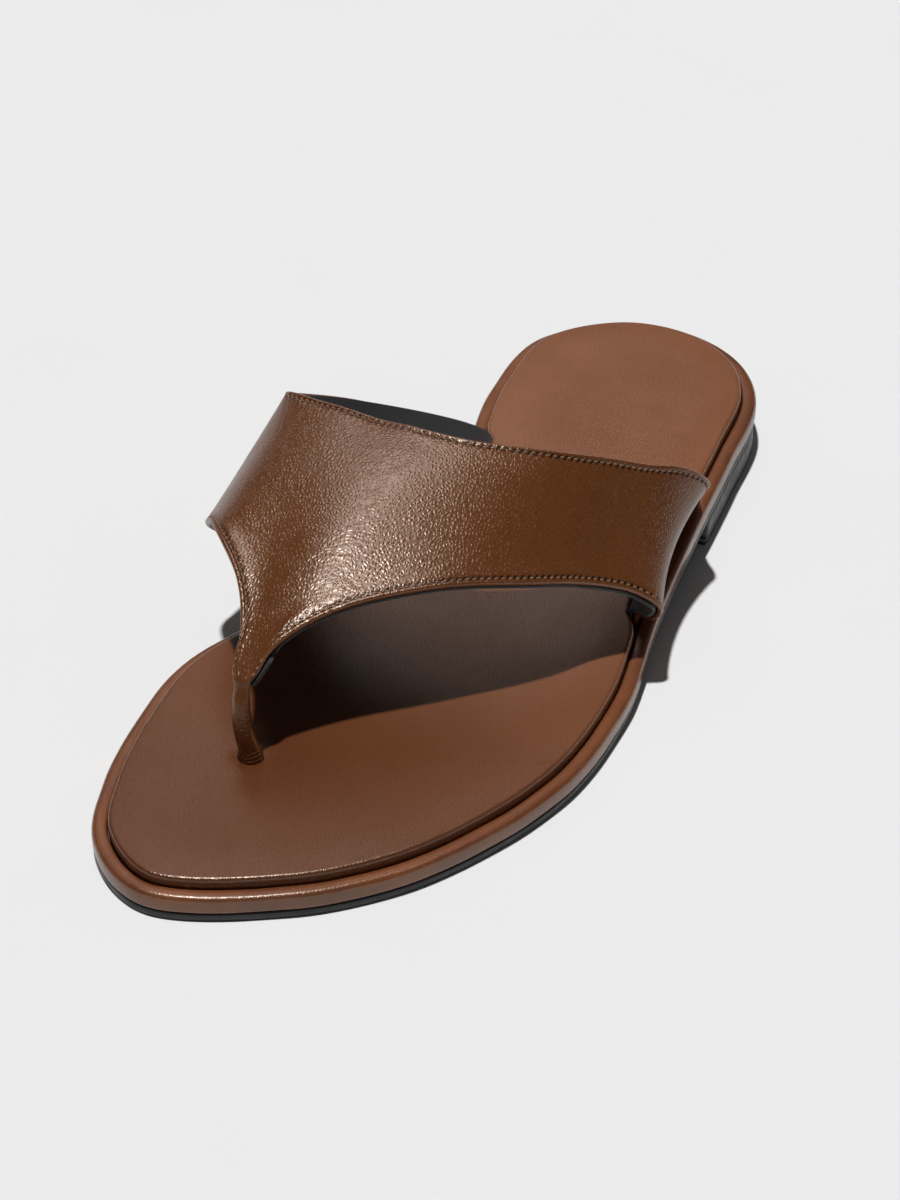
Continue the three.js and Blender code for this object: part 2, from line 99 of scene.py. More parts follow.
# Edges of the strap's middle surface, in matching order from the outer groove over the foot to the inner one.
BACK_EDGE = np.array([
    [35.8, 51, 21], [40.4, 44, 29.3], [37.5, 36, 36.3], [33, 28.5, 39.8], [27, 20, 44.5], [15, 6.5, 51],
    [2, -1.5, 54], [-6.5, -3, 54.5], [-13, -3, 54.3], [-19.5, -2.3, 53.3], [-26, -1, 52.7], [-33, 0.5, 52],
    [-41, 3, 50.3], [-47, 5.5, 49], [-51.2, 9, 46.7], [-43.5, 28.5, 36],
])
FRONT_EDGE = np.array([
    [44.5, 5, 14.5], [48.3, 0, 21.8], [43.6, -4, 26.8], [36.2, -12.5, 31.8], [28.2, -25, 37],
    [12.6, -42.6, 41.7], [-4, -59.5, 40.5], [-12.5, -71, 35.5], [-15, -78, 29], [-20, -78, 28],
    [-22.5, -69.5, 33.7], [-29, -58.5, 40], [-39, -48, 42.3], [-47.5, -37, 38], [-53.2, -27, 29],
    [-48.5, -16, 19],
])
# How strongly each matching pair of edge points is joined by an arched line: 1 is straight.
CROWN = np.array([1, 1, 1, 1, 1.05, 1.3, 1.8, 2.3, 2.6, 2.6, 2.3, 1.8, 1.3, 1.05, 1, 1])
# How far each of these lines bows in towards the foot halfway along: only the outer side does.
SIDE_BOW = np.array([2.5, 3, 3, 2, 1, 0, 0, 0, 0, 0, 0, 0, 0, 0, 0, 0])
# Where the strap's two edges enter the groove, as y on each side.
GROOVE_OUTER = {"back": 60, "front": 9}
GROOVE_INNER = {"back": 56, "front": -5}
# The two places on the front edge between which the strap's stem ends and the toe post begins.
STEM_RIGHT, STEM_LEFT = 12, 13
# Places across the strap where its two sides fold down towards the sole.
OUTER_FOLD, INNER_FOLD = 5, 18

# Centre line and radius of the rolled toe post: the first place is above it, inside the strap's stem.
POST_CENTRE = np.array([
    [-17.5, -74.5, 32.2], [-17.5, -77.9, 28.2], [-17.1, -79.6, 23], [-16.4, -79.8, 17],
    [-15.7, -79, 12.5], [-15.4, -78.6, COVER_TOP - 0.5], [-15.4, -78.6, COVER_TOP - 3],
])
POST_RADIUS = np.array([2.2, 2.2, 2.2, 2.25, 2.45, 2.9, 2.9])
# Which of these places is at the footbed's surface.
POST_MOUTH = 5
# How far round its top end the post is smoothed into the stem.
JUNCTION_SIZE = 5.5


# ---------- small helpers ----------
def smoothstep(a, b, t):
    k = np.clip((np.asarray(t, float) - a) / (b - a), 0, 1)
    return k * k * (3 - 2 * k)


def mix(a, b, t):
    return a + (b - a) * t


def unit(vectors):
    return vectors / np.maximum(np.linalg.norm(vectors, axis=-1, keepdims=True), 1e-9)


def hump(distance, width):
    """A smooth bump of height 1 and the given half width."""
    return np.exp(-((distance / width) ** 2))


def catmull(p0, p1, p2, p3, s):
    """Points s of the way from p1 to p2 on centripetal Catmull-Rom curves."""

    def knot(a, b):
        return np.sqrt(np.maximum(np.linalg.norm(b - a, axis=-1, keepdims=True), 1e-6))

    d0, d1, d2 = knot(p0, p1), knot(p1, p2), knot(p2, p3)
    t1 = ((p1 - p0) / d0 - (p2 - p0) / (d0 + d1) + (p2 - p1) / d1) * d1
    t2 = ((p2 - p1) / d1 - (p3 - p1) / (d1 + d2) + (p3 - p2) / d2) * d1
    s = s[..., None]
    start = (2 * s**3 - 3 * s**2 + 1) * p1 + (s**3 - 2 * s**2 + s) * t1
    return start + (3 * s**2 - 2 * s**3) * p2 + (s**3 - s**2) * t2


def rough(points, scale, seed):
    """Smooth random values between -1 and 1 at points, changing over about scale millimetres."""
    shift = Vector((seed * 17.3, seed * -9.1, seed * 5.7))
    flat = points.reshape(-1, 3) / scale
    values = [noise.noise(Vector(p) + shift) for p in flat]
    return np.array(values).reshape(points.shape[:-1])


def raised(y):
    """Height added to every layer of the sole at a place along the foot: the waist slopes up to the heel."""
    return HEEL_RAISE * smoothstep(WAIST_FRONT_Y, WAIST_BACK_Y, y)


# ---------- the sole's outline ----------
def footprint(count):
    """The sole's outline as `count` points on one smooth closed curve."""
    across, along = FOOTPRINT.T
    points = np.column_stack([across * WIDTH, HEEL_END_Y - (1 - along) * LENGTH, 0 * across])
    place = np.arange(count) / count * len(points)
    k = place.astype(int)
    corner = [points[(k + step) % len(points)] for step in (-1, 0, 1, 2)]
    return catmull(*corner, place - k)


def paired_outline(stations):
    """Outline points in pairs that face each other: toe tip, inner side, heel tip, outer side."""
    dense = footprint(OUTLINE_SAMPLES)
    dense = np.roll(dense, -dense[:, 1].argmin(), axis=0)
    heel = dense[:, 1].argmax()
    inner, outer = dense[: heel + 1], np.vstack([dense[heel:], dense[:1]])[::-1]
    angle = np.pi * np.arange(1, stations) / stations
    y = mix(dense[0, 1], dense[heel, 1], (1 - np.cos(angle)) / 2)
    sides = [np.column_stack([np.interp(y, side[:, 1], side[:, 0]), y, 0 * y]) for side in (inner, outer)]
    return np.vstack([dense[:1], sides[0], dense[heel : heel + 1], sides[1][::-1]])


outline = paired_outline(SOLE_STATIONS)
SOLE_POINTS = len(outline)
around = np.roll(outline, -1, axis=0) - np.roll(outline, 1, axis=0)
inward = unit(np.column_stack([around[:, 1], -around[:, 0], 0 * around[:, 0]]))

# The way from the foot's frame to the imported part's, where the midsole wrap's box has the outline's middle.
wrap_low, wrap_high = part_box("midsole_wrap")
shift = (np.array(wrap_low) + np.array(wrap_high)) / 2 - (outline.min(0) + outline.max(0)) / 2 * MM
shift[2] = 0


def strap_relief(points):
    """Extra inset of the footbed along each stretch of groove that the strap fills."""
    x, y = points[:, 0], points[:, 1]
    front = np.where(x > 0, GROOVE_OUTER["front"], GROOVE_INNER["front"])
    back = np.where(x > 0, GROOVE_OUTER["back"], GROOVE_INNER["back"])
    opening = smoothstep(0, RELIEF_RAMP, y - front + RELIEF_RAMP - RELIEF_OVERLAP)
    closing = smoothstep(0, RELIEF_RAMP, y - back + RELIEF_OVERLAP)
    return STRAP_RELIEF * opening * (1 - closing)


def ring(inset, z, relieved=False):
    """The outline moved inwards and to height z above the underside, on the sole's curve."""
    depth = inset + (strap_relief(outline) if relieved else 0)
    moved = outline + inward * np.asarray(depth).reshape(-1, 1)
    moved[:, 2] = z + raised(moved[:, 1])
    return moved


# ---------- meshes ----------
def make_mesh(name, points, faces, material, stands_for, slot):
    """A smooth-shaded piece that rides on the root body, from points in millimetres."""
    mesh = bpy.data.meshes.new(name)
    mesh.from_pydata((np.asarray(points) * MM + shift).tolist(), [], [list(map(int, f)) for f in faces])
    tidy = bmesh.new()
    tidy.from_mesh(mesh)
    bmesh.ops.recalc_face_normals(tidy, faces=tidy.faces)
    tidy.to_mesh(mesh)
    tidy.free()
    mesh.polygons.foreach_set("use_smooth", [True] * len(mesh.polygons))
    mesh.materials.append(material)
    piece = bpy.data.objects.new(name, mesh)
    bpy.context.scene.collection.objects.link(piece)
    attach(piece, "root")
    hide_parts(stands_for)
    return piece


def point_values(piece, name, values):
    """Keeps one number per point on the mesh, for its material to read."""
    attribute = piece.data.attributes.new(name, "FLOAT", "POINT")
    attribute.data.foreach_set("value", np.asarray(values, np.float32).ravel())


def bands(rings, count, closed=False):
    """Quads between neighbouring rings of `count` points, which are numbered in order."""
    faces = []
    last = rings if closed else rings - 1
    for r in range(last):
        lower, upper = r * count, (r + 1) % rings * count
        for i in range(count):
            j = (i + 1) % count
            faces.append((lower + i, lower + j, upper + j, upper + i))
    return faces


def strips(first, edge, stations, across, next_point):
    """Fills a ring that starts at point `first` with strips from side to side: new points and faces."""
    count = len(edge)
    points, rows = [], []
    for i in range(1, stations):
        near, far = edge[i], edge[count - i]
        between = [mix(near, far, k / across) for k in range(1, across)]
        row = [first + i] + list(range(next_point, next_point + across - 1)) + [first + count - i]
        points += between
        next_point += across - 1
        rows.append(row)
    faces = []
    for a, b in zip(rows, rows[1:]):
        faces += [(a[k], a[k + 1], b[k + 1], b[k]) for k in range(across)]
    for row, tip in ((rows[0], first), (rows[-1], first + stations)):
        faces += [(row[k], row[k + 1], tip) for k in range(across)]
    return np.array(points), faces


def layered(profile, relieved=False, across=22, shape=None):
    """A layer of the sole: rings of (inset, height) between two caps. `shape` moves the points at the end."""
    rings = [ring(inset, z, relieved) for inset, z in profile]
    points = np.vstack(rings)
    faces = bands(len(rings), SOLE_POINTS)
    for first in (0, (len(rings) - 1) * SOLE_POINTS):
        edge = points[first : first + SOLE_POINTS]
        more, cap = strips(first, edge, SOLE_STATIONS, across, len(points))
        points = np.vstack([points, more])
        faces += cap
    if shape:
        points = shape(points)
    return points, faces


def quarter(centre, radius, start, steps=5):
    """Points of (inset, height) on a quarter circle, from the angle `start` in degrees, turning clockwise."""
    angles = np.radians(start - 90 * np.arange(steps + 1) / steps)
    return [(centre[0] + radius * math.cos(a), centre[1] + radius * math.sin(a)) for a in angles]


# ---------- materials ----------
def srgb(red, green, blue):
    """Linear colour from 0-255 values."""
    shares = [channel / 255 for channel in (red, green, blue)]
    linear = [share / 12.92 if share < 0.04045 else ((share + 0.055) / 1.055) ** 2.4 for share in shares]
    return (*linear, 1)


WARM_SHEEN = (1.0, 0.84, 0.72, 1.0)


class Shader:
    """A node material that is built up step by step."""

    def __init__(self, name):
        self.material = bpy.data.materials.new(name)
        self.material.use_nodes = True
        self.tree = self.material.node_tree
        self.surface = self.tree.nodes["Principled BSDF"]

    def add(self, kind, inputs=None, **settings):
        node = self.tree.nodes.new("ShaderNode" + kind)
        for key, value in settings.items():
            setattr(node, key, value)
        self.feed(node, inputs or {})
        return node

    def feed(self, node, inputs):
        for key, value in inputs.items():
            if isinstance(value, bpy.types.NodeSocket):
                self.tree.links.new(value, node.inputs[key])
            else:
                node.inputs[key].default_value = value

    def place(self, stretch=(1, 1, 1)):
        """Position on the piece in millimetres, stretched along each axis."""
        where = self.add("TexCoord").outputs["Object"]
        scale = tuple(1 / MM / s for s in stretch)
        return self.add("Mapping", {"Vector": where, "Scale": scale}).outputs["Vector"]

    def noise(self, size, where=None, detail=3, roughness=0.55):
        """Soft random values of 0 to 1 with features about `size` millimetres wide."""
        where = where or self.place()
        inputs = {"Vector": where, "Scale": 1 / size, "Detail": detail, "Roughness": roughness}
        return self.add("TexNoise", inputs).outputs["Fac"]

    def sum(self, a, b, operation="ADD"):
        return self.add("Math", {0: a, 1: b}, operation=operation).outputs[0]

    def remap(self, value, low, high, to_low=0.0, to_high=1.0):
        inputs = {"Value": value, "From Min": low, "From Max": high, "To Min": to_low, "To Max": to_high}
        return self.add("MapRange", inputs, interpolation_type="SMOOTHSTEP").outputs["Result"]

    def blend(self, amount, a, b):
        node = self.add("Mix", {0: amount}, data_type="RGBA")
        self.feed(node, {6: a, 7: b})
        return node.outputs[2]

    def bump(self, height, depth):
        """Surface normal for a height of 0 to 1 that stands for `depth` millimetres."""
        inputs = {"Height": height, "Distance": depth * MM, "Strength": 1.0}
        return self.add("Bump", inputs).outputs["Normal"]

    def attribute(self, name):
        return self.add("Attribute", attribute_name=name).outputs["Fac"]

    def finish(self, inputs):
        self.feed(self.surface, inputs)
        return self.material


def grain(shader, cell, stretch=(1, 1, 1), groove=0.22):
    """Pebbled leather grain: 1 on the pebbles and 0 in the wavy grooves between them."""
    where = shader.place(stretch)
    sway = shader.add("TexNoise", {"Vector": where, "Scale": 1 / (2.5 * cell), "Detail": 2}).outputs["Color"]
    moved = shader.add("VectorMath", {0: sway, 3: 0.75 * cell}, operation="SCALE").outputs["Vector"]
    moved = shader.add("VectorMath", {0: where, 1: moved}, operation="ADD").outputs["Vector"]
    cells = shader.add("TexVoronoi", {"Vector": moved, "Scale": 1 / cell}, feature="DISTANCE_TO_EDGE")
    return shader.remap(cells.outputs["Distance"], 0.0, groove)


def strap_leather():
    """Deep brown pebbled leather with a light finish, stitched close to its edges, with painted shade in its
    stitch holes.
    """
    shader = Shader("strap_leather")
    pebbles = grain(shader, 0.95, (0.9, 1.15, 1.0), 0.42)
    pores = shader.noise(0.3)
    patches = shader.noise(22, detail=4)
    colour = shader.blend(patches, srgb(88, 46, 12), srgb(106, 58, 18))
    colour = shader.blend(shader.remap(pebbles, 0, 1, 0.35, 0), colour, srgb(58, 30, 10))
    edge, along = shader.attribute("edge"), shader.attribute("stitch")
    colour = shader.blend(shader.remap(edge, 0.3, 0.0), colour, srgb(116, 70, 40))
    # Painted shade: near-black spots at both ends of each stitch, on the seam line, stand in for the shade
    # inside the stitch holes.
    off_seam = shader.sum(shader.sum(edge, SEAM_INSET, "SUBTRACT"), 0, "ABSOLUTE")
    between = shader.sum(shader.sum(along, 1, "FLOORED_MODULO"), 0.5, "SUBTRACT")
    near_end = shader.remap(shader.sum(between, 0, "ABSOLUTE"), 0.26, 0.34)
    hole = shader.sum(near_end, shader.remap(off_seam, 0.55, 0.35), "MULTIPLY")
    colour = shader.blend(hole, colour, srgb(16, 9, 6))
    height = shader.sum(shader.sum(pebbles, 0.75, "MULTIPLY"), shader.sum(pores, 0.25, "MULTIPLY"))
    normal = shader.bump(height, 0.085)
    rough_patches = shader.remap(shader.noise(6), 0.3, 0.7, 0.28, 0.33)
    return shader.finish({
        "Base Color": colour, "Roughness": rough_patches, "Normal": normal,
        "Specular IOR Level": 0.75, "Specular Tint": WARM_SHEEN,
    })


def smooth_leather(name, dark, light, rough_range, depth=0.03, patch=30, toe=None):
    """Fine smooth leather with small pores, polished where it turns down. `toe` is its colour at the toe; the
    blend towards it is partly the leather's own tone and partly painted light, the heel end standing in for a
    brighter sheen.
    """
    shader = Shader(name)
    patches = shader.noise(patch, detail=5)
    colour = shader.blend(shader.remap(patches, 0.3, 0.7), dark, light)
    # Darker and more saturated towards the toe, lighter towards the heel: partly the leather's own tone,
    # partly painted light for the heel's brighter sheen.
    if toe:
        along = shader.add("SeparateXYZ", {0: shader.place()}).outputs["Y"]
        colour = shader.blend(shader.remap(along, LENGTH / 10, -LENGTH / 2.5, 0.0, 0.9), colour, toe)
    pores = shader.noise(0.45, detail=4)
    pebbles = grain(shader, 0.7, groove=0.3)
    height = shader.sum(shader.sum(pebbles, 0.5, "MULTIPLY"), shader.sum(pores, 0.5, "MULTIPLY"))
    colour = shader.blend(shader.remap(pores, 0.35, 0.6, 0.2, 0), colour, dark)
    upright = shader.add("SeparateXYZ", {0: shader.add("NewGeometry").outputs["Normal"]}).outputs["Z"]
    polish = shader.remap(upright, 0.99, 0.9)
    roughness = shader.remap(shader.noise(30), 0.3, 0.7, *rough_range)
    roughness = shader.sum(roughness, shader.sum(polish, 0.16, "MULTIPLY"), "SUBTRACT")
    return shader.finish({
        "Base Color": colour, "Roughness": roughness, "Normal": shader.bump(height, depth),
        "Specular IOR Level": shader.remap(polish, 0, 1, 0.25, 0.9),
        "Specular Tint": WARM_SHEEN,
    })


def edge_black(name, tone, rough_range):
    """Dyed and waxed sole edge: near black with scratches along it and a soft shine."""
    shader = Shader(name)
    streaks = shader.noise(3, shader.place((6, 6, 0.25)), detail=5)
    colour = shader.blend(streaks, srgb(*tone), srgb(*(c + 16 for c in tone)))
    roughness = shader.remap(shader.noise(5, detail=5), 0.3, 0.7, *rough_range)
    height = shader.sum(streaks, shader.sum(shader.noise(0.5), 0.4, "MULTIPLY"))
    return shader.finish({"Base Color": colour, "Roughness": roughness, "Normal": shader.bump(height, 0.04)})


def lining_leather():
    """Matt black lining with a fine nap."""
    shader = Shader("lining_leather")
    nap = shader.noise(0.5, detail=6, roughness=0.7)
    colour = shader.blend(shader.noise(14), srgb(24, 24, 27), srgb(40, 39, 41))
    colour = shader.blend(shader.remap(nap, 0.3, 0.7, 0.25, 0), colour, srgb(12, 12, 14))
    return shader.finish({
        "Base Color": colour, "Roughness": shader.remap(nap, 0.3, 0.7, 0.55, 0.75),
        "Normal": shader.bump(nap, 0.05), "Sheen Weight": 0.15, "Sheen Roughness": 0.5,
    })


def thread_material():
    """Waxed brown thread with a twist."""
    shader = Shader("thread")
    twist = shader.add("TexWave", {"Vector": shader.place(), "Scale": 1.1, "Distortion": 1.5}).outputs["Fac"]
    colour = shader.blend(twist, srgb(112, 70, 42), srgb(158, 112, 78))
    return shader.finish({"Base Color": colour, "Roughness": 0.5, "Normal": shader.bump(twist, 0.05)})


def speckled(name, dark, light, size, roughness=0.85, metallic=0.0):
    """A finely speckled material for the pieces that are hidden inside."""
    shader = Shader(name)
    speckle = shader.noise(size, detail=6, roughness=0.7)
    colour = shader.blend(shader.remap(speckle, 0.3, 0.7), srgb(*dark), srgb(*light))
    return shader.finish({
        "Base Color": colour, "Roughness": roughness, "Metallic": metallic,
        "Normal": shader.bump(speckle, 0.08),
    })


STRAP = strap_leather()
# The footbed's toe colour, srgb(76, 38, 13), is partly its own tone and partly painted light: the heel end is
# kept lighter to stand in for its sheen.
FOOTBED = smooth_leather(
    "footbed_leather", srgb(112, 67, 41), srgb(124, 77, 51), (0.38, 0.44), 0.05, 26, srgb(76, 38, 13))
WRAP = smooth_leather("wrap_leather", srgb(92, 50, 28), srgb(116, 67, 38), (0.34, 0.46), 0.04, 18)
EDGE = edge_black("outsole_black", (20, 20, 24), (0.35, 0.55))
LINING = lining_leather()
THREAD = thread_material()
BOARD = speckled("board", (70, 52, 38), (120, 98, 74), 1.5)
TAPE = speckled("tape", (40, 38, 36), (74, 70, 66), 0.8)
PADDING = speckled("padding", (170, 160, 140), (222, 214, 198), 0.7)
STEEL = speckled("steel", (120, 124, 130), (176, 180, 186), 2.5, 0.35, 0.9)


# ---------- sole ----------
def outsole():
    """The black outsole, with its lower edge softened."""
    edge = 0.35
    top = OUTSOLE_THICKNESS
    profile = [(1.1, 0), (0.7, 0.08), (edge + 0.1, 0.35), (edge, 0.8)]
    profile += [(edge, top - 0.5), (edge + 0.12, top - 0.15), (edge + 0.5, top)]
    return make_mesh("outsole_layer", *layered(profile, across=6), EDGE, "outsole", "outsole_black")


def heel_block(name, inset, bottom, top, node, rounding=0.35):
    """A block with the heel's D-shaped outline and softened edges."""
    behind = [i for i in range(SOLE_POINTS) if outline[i, 1] > HEEL_BREAST_Y + 1]
    sections = [(rounding, bottom), (0.1, bottom + rounding / 3), (0, bottom + rounding)]
    sections += [(0, top - rounding), (0.1, top - rounding / 3), (rounding, top)]
    rings = []
    for extra, z in sections:
        line = ring(inset + extra, 0)[behind]
        line[:, 2] = z
        corners = [[line[k, 0], HEEL_BREAST_Y + extra, z] for k in (0, -1)]
        rings.append(np.vstack([corners[0], line, corners[1]]))
    count = len(rings[0])
    faces = bands(len(rings), count)
    faces += [tuple(range(count)), tuple(range((len(rings) - 1) * count, len(rings) * count))]
    return make_mesh(name, np.vstack(rings), faces, EDGE, node, "outsole_black")


def rim():
    """The leather-wrapped edge of the midsole, with a round shoulder and a faint unevenness."""
    shoulder, inner, foot = 1.3, 0.7, 0.3
    crown = 0.12
    undercut = 0.1
    section = quarter((shoulder, RIM_TOP - shoulder), shoulder, 180)
    section += [(RIM_WIDTH / 2, RIM_TOP + crown)]
    section += quarter((RIM_WIDTH - inner, RIM_TOP - inner), inner, 90)
    section += quarter((RIM_WIDTH - foot, RIM_BOTTOM + foot), foot, 0, 2)
    section += quarter((inner + undercut, RIM_BOTTOM + inner), inner, 270, 4)
    points = np.vstack([ring(inset, z) for inset, z in section])
    wave = rough(points, 9, 1) * 0.10 + rough(points, 3, 2) * 0.04
    points[:, 2] += wave
    points[:, :2] += np.tile(inward[:, :2], (len(section), 1)) * rough(points, 12, 3)[:, None] * 0.12
    faces = bands(len(section), SOLE_POINTS, closed=True)
    return make_mesh("midsole_rim", points, faces, WRAP, "midsole_wrap", "wrap_leather")


def footbed_surface(points):
    """Soft padding: slightly uneven, with a hollow and a raised lip where the toe post goes in."""
    post = POST_CENTRE[POST_MOUTH]
    top = smoothstep(COVER_TOP - 3.5, COVER_TOP - 0.3, points[:, 2] - raised(points[:, 1]))
    away = np.hypot(points[:, 0] - post[0], points[:, 1] - post[1])
    points = points.copy()
    points[:, 2] += top * (0.10 * rough(points, 34, 4) + 0.02 * rough(points, 9, 5))
    points[:, 2] -= top * (0.8 * hump(away, 3.4) + 0.15 * hump(away, 12))
    points[:, 2] += top * 0.3 * hump(away - 5.4, 1.5)
    return points


def footbed():
    """The padded cover: straight side wall, a tight rounded bead and a softly domed top."""
    wall = FOOTBED_INSET
    bead = 0.95
    dome_width, dome_rise = 9.0, 0.55
    profile = [(wall + 3, COVER_BOTTOM), (wall + 0.3, COVER_BOTTOM), (wall, COVER_BOTTOM + 0.4)]
    profile += [(wall, COVER_BOTTOM + 1.2), (wall, COVER_BOTTOM + 2)]
    shoulder = COVER_TOP - dome_rise
    profile += quarter((wall + bead, shoulder - bead), bead, 180, 6)[:-1]
    for inset in (0.15, 0.5, 1.0, 1.7, 2.6, 3.7, 5.0, 6.5, 8.0, dome_width):
        rise = dome_rise * math.sin(math.pi / 2 * inset / dome_width)
        profile.append((wall + bead + inset, shoulder + rise))
    points, faces = layered(profile, relieved=True, across=30, shape=footbed_surface)
    return make_mesh("footbed_padded_cover", points, faces, FOOTBED, "footbed_cover", "footbed_leather")


# ---------- strap ----------
def groove(extra, side):
    """The groove's line on one side of the foot, in order of y."""
    line = ring(STRAP_INSET + extra, 0)
    line = line[(line[:, 0] * side > 0) & (np.abs(line[:, 1]) < LENGTH * 0.4)]
    return line[np.argsort(line[:, 1])]


def tuck(y, side):
    """The strap's path at y: in under the footbed, round a bend and up out of the groove."""
    stations = []
    heights = (MARGIN_MIDDLE, MARGIN_MIDDLE, MARGIN_MIDDLE + 0.6, RIM_TOP + 2.5)
    for extra, z in zip((MARGIN_WIDTH, 2.6, 0.5, 0), heights):
        line = groove(extra, side)
        stations.append(np.stack([np.interp(y, line[:, 1], line[:, 0]), y, z + raised(y)], axis=-1))
    return np.stack(stations, axis=-2)


def strap_controls(v):
    """The points that a line across the strap runs through, v of the way from back edge to front edge."""
    across = mix(BACK_EDGE, FRONT_EDGE, v[..., None, None])
    across[..., 0] -= SIDE_BOW * 4 * (v * (1 - v))[..., None]
    across[..., 2] = mix(BACK_EDGE[:, 2], FRONT_EDGE[:, 2], v[..., None] ** CROWN)
    outer = tuck(mix(GROOVE_OUTER["back"], GROOVE_OUTER["front"], v), 1)
    inner = tuck(mix(GROOVE_INNER["back"], GROOVE_INNER["front"], v), -1)[..., ::-1, :]
    line = np.concatenate([outer, across, inner], axis=-2)
    before = 2 * line[..., :1, :] - line[..., 1:2, :]
    after = 2 * line[..., -1:, :] - line[..., -2:-1, :]
    return np.concatenate([before, line, after], axis=-2)


TUCK_PLACES = 4
PLACES = len(BACK_EDGE) + 2 * TUCK_PLACES
STEM_MIDDLE = (STEM_RIGHT + STEM_LEFT) / 2
STEM_COLUMNS = 12


def strap_point(t, v):
    """Points on the strap's middle surface: t counts places from the outer groove, v runs back to front."""
    controls = strap_controls(v)
    k = np.clip(t.astype(int), 0, PLACES - 2)
    p0, p1, p2, p3 = (
        np.take_along_axis(controls, (k + step)[..., None, None], -2)[..., 0, :] for step in range(4)
    )
    turn = smoothstep(0.93, 1, v)
    after_turn = turn * np.isin(k, (STEM_RIGHT, STEM_LEFT))
    before_turn = turn * np.isin(k + 1, (STEM_RIGHT, STEM_LEFT))
    p0 = mix(p0, 2 * p1 - p2, after_turn[..., None])
    p3 = mix(p3, 2 * p2 - p1, before_turn[..., None])
    return catmull(p0, p1, p2, p3, t - k)


def strap_columns():
    """Values of t that are about COLUMN_SPACING apart on the surface, and closer round the stem's end."""
    places = np.arange(PLACES, dtype=float)
    lines = [strap_point(places, np.full(PLACES, v)) for v in (0.0, 0.5, 1.0)]
    spans = np.max([np.linalg.norm(np.diff(line, axis=0), axis=1) for line in lines], axis=0)
    columns = []
    for k, length in enumerate(spans):
        count = max(3, math.ceil(length / COLUMN_SPACING))
        if k == STEM_RIGHT:
            count = STEM_COLUMNS
        columns += list(k + np.arange(count) / count)
    return np.array(columns + [PLACES - 1])


# Distances from the strap's edges at which its grid has rows, and the number of rows between them.
EDGE_STEPS = np.array([
    0, 0.07, 0.17, 0.32, 0.5, 0.75, 0.95, 1.1, 1.25, 1.4, 1.55, 1.7, 1.9, 2.3, 3.1, 4.2,
])
MIDDLE_ROWS = 30


class Strap:
    """A grid over the strap with rows that keep a set distance from its edges."""

    def __init__(self, inset=0.0, edge_steps=EDGE_STEPS, middle_rows=MIDDLE_ROWS, columns=None):
        self.t = strap_columns() if columns is None else columns
        back_rate, front_rate = self.edge_rate(0.0), self.edge_rate(1.0)
        steps = edge_steps + inset
        back = steps[:, None] / back_rate
        front = 1 - steps[::-1, None] / front_rate
        share = (np.arange(1, middle_rows + 1) / (middle_rows + 1))[:, None]
        self.v = np.clip(np.vstack([back, mix(back[-1], front[0], share), front]), 0, 1)
        t = np.broadcast_to(self.t, self.v.shape)
        self.middle = strap_point(t, self.v)
        self.relax(np.minimum(self.v * back_rate, (1 - self.v) * front_rate))
        beyond = strap_point(t, np.clip(self.v + 0.01, 0, 1)) - strap_point(t, np.clip(self.v - 0.01, 0, 1))
        sideways = np.gradient(self.middle, axis=1)
        self.normal = unit(np.cross(sideways, beyond))
        far = np.full((middle_rows, len(self.t)), steps[-1] + 1)
        back_steps = np.broadcast_to(steps[:, None], back.shape)
        front_steps = np.broadcast_to(steps[::-1, None], front.shape)
        self.edge = np.vstack([back_steps, far, front_steps])
        seam_back, seam_front = self.seam_line(back_rate, 0), self.seam_line(front_rate, 1)
        near_back = np.arange(len(self.v)) < len(self.v) / 2
        travelled = np.where(near_back[:, None], self.lengths(seam_back), self.lengths(seam_front))
        self.stitch = travelled / STITCH_PITCH
        self.seam_back, self.seam_front = seam_back, seam_front

    def relax(self, edge, rounds=60):
        """Evens out the surface away from edges, grooves and folds, then from side to side above the stem."""
        outer_end = smoothstep(TUCK_PLACES - 1, TUCK_PLACES + 0.5, self.t)
        inner_end = smoothstep(TUCK_PLACES, TUCK_PLACES + 1.5, PLACES - self.t)
        folds = hump(self.t - OUTER_FOLD, 0.6) + hump(self.t - INNER_FOLD, 0.6)
        weight = (0.8 * smoothstep(0.8, 5, edge) * outer_end * inner_end * (1 - folds))[..., None]
        for _ in range(rounds):
            around = (np.roll(self.middle, step, axis) for step in (1, -1) for axis in (0, 1))
            self.middle = mix(self.middle, sum(around) / 4, weight)
        above_stem = weight * hump(self.t - STEM_MIDDLE, 3.5)[:, None]
        for _ in range(2 * rounds):
            beside = np.roll(self.middle, 1, 1) + np.roll(self.middle, -1, 1)
            self.middle = mix(self.middle, beside / 2, above_stem)

    def edge_rate(self, v):
        """Millimetres of distance from the edge at v for each unit of v, at every column."""
        small = 0.004
        edge = strap_point(self.t, np.full(self.t.shape, v))
        inside = strap_point(self.t, np.full(self.t.shape, abs(v - small)))
        step = inside - edge
        along = unit(np.gradient(edge, axis=0))
        away = np.linalg.norm(np.cross(along, step), axis=-1) / small
        kernel = np.hanning(9)[1:-1]
        padded = np.pad(away, len(kernel) // 2, mode="edge")
        return np.maximum(np.convolve(padded, kernel / kernel.sum(), "valid"), 12)

    def seam_line(self, rate, v):
        """The seam's line on the middle surface, with its normals."""
        at = np.abs(v - SEAM_INSET / rate)
        line = strap_point(self.t, at)
        beyond = strap_point(self.t, at + 0.01) - strap_point(self.t, at - 0.01)
        return line, unit(np.cross(np.gradient(line, axis=0), beyond))

    @staticmethod
    def lengths(seam):
        """Distance travelled along a seam, at every column."""
        return np.concatenate([[0], np.cumsum(np.linalg.norm(np.diff(seam[0], axis=0), axis=1))])


def stem_end(t):
    """1 on the columns of the grid that run down the stem, and 0 on the others."""
    return smoothstep(STEM_RIGHT - 0.5, STEM_RIGHT, t) * (1 - smoothstep(STEM_LEFT, STEM_LEFT + 0.5, t))


